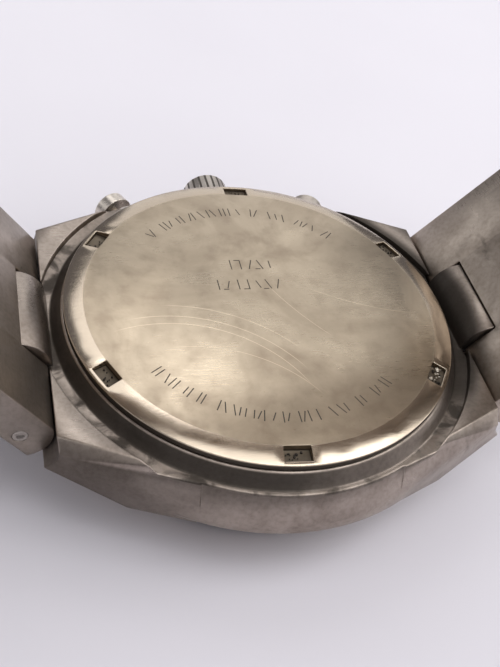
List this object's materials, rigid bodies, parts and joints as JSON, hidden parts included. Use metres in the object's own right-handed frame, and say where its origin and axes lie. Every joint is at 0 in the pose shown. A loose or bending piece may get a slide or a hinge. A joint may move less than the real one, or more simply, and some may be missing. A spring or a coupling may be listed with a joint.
{
  "type": "chronograph wristwatch",
  "caption": "Chronograph wristwatch lying on its crystal with screwed case back up, crown, push buttons and closed metal link bracelet.",
  "frame": {"origin": "on the case axis at the outer face of the crystal, which the watch rests on", "axes": "+Z out of the case back, +Y towards the crown (3 o'clock), +X towards 12 o'clock"},
  "size_m": [0.0698, 0.0439, 0.0607],
  "materials": {
    "bracelet_metal": "worn brushed titanium",
    "pin_steel": "plain steel",
    "case_metal": "worn brushed titanium",
    "bezel_metal": "satin titanium",
    "back_metal": "worn satin titanium",
    "crystal_glass": "clear mineral glass",
    "gasket_nylon": "translucent nylon",
    "ring_black": "matt black",
    "dial_face": "satin lacquer",
    "hand_metal": "polished",
    "holder_plastic": "moulded",
    "movement_brass": "plated",
    "board_green": "solder resist",
    "cell_steel": "satin",
    "coil_copper": "enamelled copper wire",
    "bridge_metal": "stamped",
    "gasket_rubber": "black rubber",
    "crown_metal": "satin",
    "tube_metal": "turned",
    "pusher_metal": "satin",
    "spring_steel": "drawn wire",
    "clasp_metal": "brushed",
    "blade_metal": "polished"
  },
  "bodies": {
    "case": {"case_middle": "case_metal", "bezel": "bezel_metal", "crystal": "crystal_glass", "crystal_gasket": "gasket_nylon", "inner_bezel_ring": "ring_black", "dial": "dial_face", "movement_holder": "holder_plastic", "main_plate": "movement_brass", "circuit_board": "board_green", "battery": "cell_steel", "motor_coil": "coil_copper", "chronograph_bridge": "bridge_metal", "crown_tube": "tube_metal", "pusher_tubes": "tube_metal", "start_pusher_spring": "spring_steel", "reset_pusher_spring": "spring_steel"},
    "back": {"case_back": "back_metal", "case_back_gasket": "gasket_rubber"},
    "crown_setting": {"crown_gasket": "gasket_rubber"},
    "crown_head": {"crown": "crown_metal", "crown_stem": "pin_steel"},
    "start_button": {"start_pusher": "pusher_metal"},
    "reset_button": {"reset_pusher": "pusher_metal"},
    "hour_wheel": {"hour_hand": "hand_metal"},
    "minute_wheel": {"minute_hand": "hand_metal"},
    "sweep_seconds_wheel": {"sweep_seconds_hand": "hand_metal"},
    "small_seconds_wheel": {"small_seconds_hand": "hand_metal"},
    "minute_counter_wheel": {"minute_counter_hand": "hand_metal"},
    "hour_counter_wheel": {"hour_counter_hand": "hand_metal"},
    "twelve_link_1_body": {"twelve_link_1": "bracelet_metal", "twelve_pin_1": "pin_steel"},
    "twelve_link_2_body": {"twelve_link_2": "bracelet_metal", "twelve_pin_2": "pin_steel"},
    "twelve_link_3_body": {"twelve_link_3": "bracelet_metal", "twelve_pin_3": "pin_steel"},
    "twelve_link_4_body": {"twelve_link_4": "bracelet_metal", "twelve_pin_4": "pin_steel"},
    "twelve_link_5_body": {"twelve_link_5": "bracelet_metal", "twelve_pin_5": "pin_steel"},
    "twelve_link_6_body": {"twelve_link_6": "bracelet_metal", "twelve_pin_6": "pin_steel"},
    "six_link_1_body": {"six_link_1": "bracelet_metal", "six_pin_1": "pin_steel"},
    "six_link_2_body": {"six_link_2": "bracelet_metal", "six_pin_2": "pin_steel"},
    "six_link_3_body": {"six_link_3": "bracelet_metal", "six_pin_3": "pin_steel"},
    "six_link_4_body": {"six_link_4": "bracelet_metal", "six_pin_4": "pin_steel"},
    "six_link_5_body": {"six_link_5": "bracelet_metal", "six_pin_5": "pin_steel"},
    "six_link_6_body": {"six_link_6": "bracelet_metal", "six_pin_6": "pin_steel"},
    "clasp_cover_body": {"clasp_cover": "clasp_metal", "clasp_spring_bar": "pin_steel", "clasp_hinge_pin": "pin_steel"},
    "clasp_outer_body": {"clasp_outer_blade": "blade_metal", "clasp_fold_pin": "pin_steel"},
    "clasp_inner_body": {"clasp_inner_blade": "blade_metal"}
  },
  "joints": [
    {"name": "case_back_lift", "type": "slide", "parent": "case", "child": "back", "axis": [0, 0, 1], "range_m": [0, 0.015]},
    {"name": "crown_pull", "type": "slide", "parent": "case", "child": "crown_setting", "axis": [0, 1, 0], "range_m": [0, 0.001]},
    {"name": "crown_turn", "type": "hinge", "parent": "crown_setting", "child": "crown_head", "pos_m": [0, 0.0215, 0.0062], "axis": [0, 1, 0], "continuous": true},
    {"name": "start_press", "type": "slide", "parent": "case", "child": "start_button", "axis": [-0.4756, -0.8796, 0], "range_m": [0, 0.0008], "stiffness_N_per_m": 1500, "springref_m": -0.0005},
    {"name": "reset_press", "type": "slide", "parent": "case", "child": "reset_button", "axis": [0.4756, -0.8796, 0], "range_m": [0, 0.0008], "stiffness_N_per_m": 1500, "springref_m": -0.0005},
    {"name": "hour_turn", "type": "hinge", "parent": "case", "child": "hour_wheel", "pos_m": [0, 0, 0.004], "axis": [0, 0, 1], "continuous": true},
    {"name": "minute_turn", "type": "hinge", "parent": "case", "child": "minute_wheel", "pos_m": [0, 0, 0.004], "axis": [0, 0, 1], "continuous": true},
    {"name": "sweep_seconds_turn", "type": "hinge", "parent": "case", "child": "sweep_seconds_wheel", "pos_m": [0, 0, 0.004], "axis": [0, 0, 1], "continuous": true},
    {"name": "small_seconds_turn", "type": "hinge", "parent": "case", "child": "small_seconds_wheel", "pos_m": [-0.0066, 0, 0.004], "axis": [0, 0, 1], "continuous": true},
    {"name": "minute_counter_turn", "type": "hinge", "parent": "case", "child": "minute_counter_wheel", "pos_m": [0, -0.0066, 0.004], "axis": [0, 0, 1], "continuous": true},
    {"name": "hour_counter_turn", "type": "hinge", "parent": "case", "child": "hour_counter_wheel", "pos_m": [0.0066, 0, 0.004], "axis": [0, 0, 1], "continuous": true},
    {"name": "twelve_hinge_1", "type": "hinge", "parent": "case", "child": "twelve_link_1_body", "pos_m": [0.0219, 0, 0.0095], "axis": [0, 1, 0], "range_deg": [0, 52]},
    {"name": "twelve_hinge_2", "type": "hinge", "parent": "twelve_link_1_body", "child": "twelve_link_2_body", "pos_m": [0.0299, 0, 0.01974], "axis": [0, 1, 0], "range_deg": [0, 18]},
    {"name": "twelve_hinge_3", "type": "hinge", "parent": "twelve_link_2_body", "child": "twelve_link_3_body", "pos_m": [0.03298, 0, 0.0282], "axis": [0, 1, 0], "range_deg": [0, 20]},
    {"name": "twelve_hinge_4", "type": "hinge", "parent": "twelve_link_3_body", "child": "twelve_link_4_body", "pos_m": [0.03298, 0, 0.0372], "axis": [0, 1, 0], "range_deg": [0, 20]},
    {"name": "twelve_hinge_5", "type": "hinge", "parent": "twelve_link_4_body", "child": "twelve_link_5_body", "pos_m": [0.0299, 0, 0.04566], "axis": [0, 1, 0], "range_deg": [0, 20]},
    {"name": "twelve_hinge_6", "type": "hinge", "parent": "twelve_link_5_body", "child": "twelve_link_6_body", "pos_m": [0.02412, 0, 0.05255], "axis": [0, 1, 0], "range_deg": [0, 20]},
    {"name": "six_hinge_1", "type": "hinge", "parent": "case", "child": "six_link_1_body", "pos_m": [-0.0219, 0, 0.0095], "axis": [0, -1, 0], "range_deg": [0, 52]},
    {"name": "six_hinge_2", "type": "hinge", "parent": "six_link_1_body", "child": "six_link_2_body", "pos_m": [-0.0299, 0, 0.01974], "axis": [0, -1, 0], "range_deg": [0, 18]},
    {"name": "six_hinge_3", "type": "hinge", "parent": "six_link_2_body", "child": "six_link_3_body", "pos_m": [-0.03298, 0, 0.0282], "axis": [0, -1, 0], "range_deg": [0, 20]},
    {"name": "six_hinge_4", "type": "hinge", "parent": "six_link_3_body", "child": "six_link_4_body", "pos_m": [-0.03298, 0, 0.0372], "axis": [0, -1, 0], "range_deg": [0, 20]},
    {"name": "six_hinge_5", "type": "hinge", "parent": "six_link_4_body", "child": "six_link_5_body", "pos_m": [-0.0299, 0, 0.04566], "axis": [0, -1, 0], "range_deg": [0, 20]},
    {"name": "six_hinge_6", "type": "hinge", "parent": "six_link_5_body", "child": "six_link_6_body", "pos_m": [-0.02412, 0, 0.05255], "axis": [0, -1, 0], "range_deg": [0, 20]},
    {"name": "clasp_cover_hinge", "type": "hinge", "parent": "twelve_link_6_body", "child": "clasp_cover_body", "pos_m": [0.01632, 0, 0.05705], "axis": [0, 1, 0], "range_deg": [0, 30]},
    {"name": "clasp_outer_hinge", "type": "hinge", "parent": "clasp_cover_body", "child": "clasp_outer_body", "pos_m": [-0.01112, 0, 0.058], "axis": [0, 1, 0], "range_deg": [0, 90]},
    {"name": "clasp_inner_hinge", "type": "hinge", "parent": "clasp_outer_body", "child": "clasp_inner_body", "pos_m": [0.01112, 0, 0.0571], "axis": [0, -1, 0], "range_deg": [0, 100]}
  ],
  "couplings": [
    {"joint": "minute_turn", "follows": "small_seconds_turn", "ratio": 0.016667},
    {"joint": "hour_turn", "follows": "small_seconds_turn", "ratio": 0.0013889},
    {"joint": "minute_counter_turn", "follows": "sweep_seconds_turn", "ratio": 0.033333},
    {"joint": "hour_counter_turn", "follows": "sweep_seconds_turn", "ratio": 0.0013889}
  ]
}
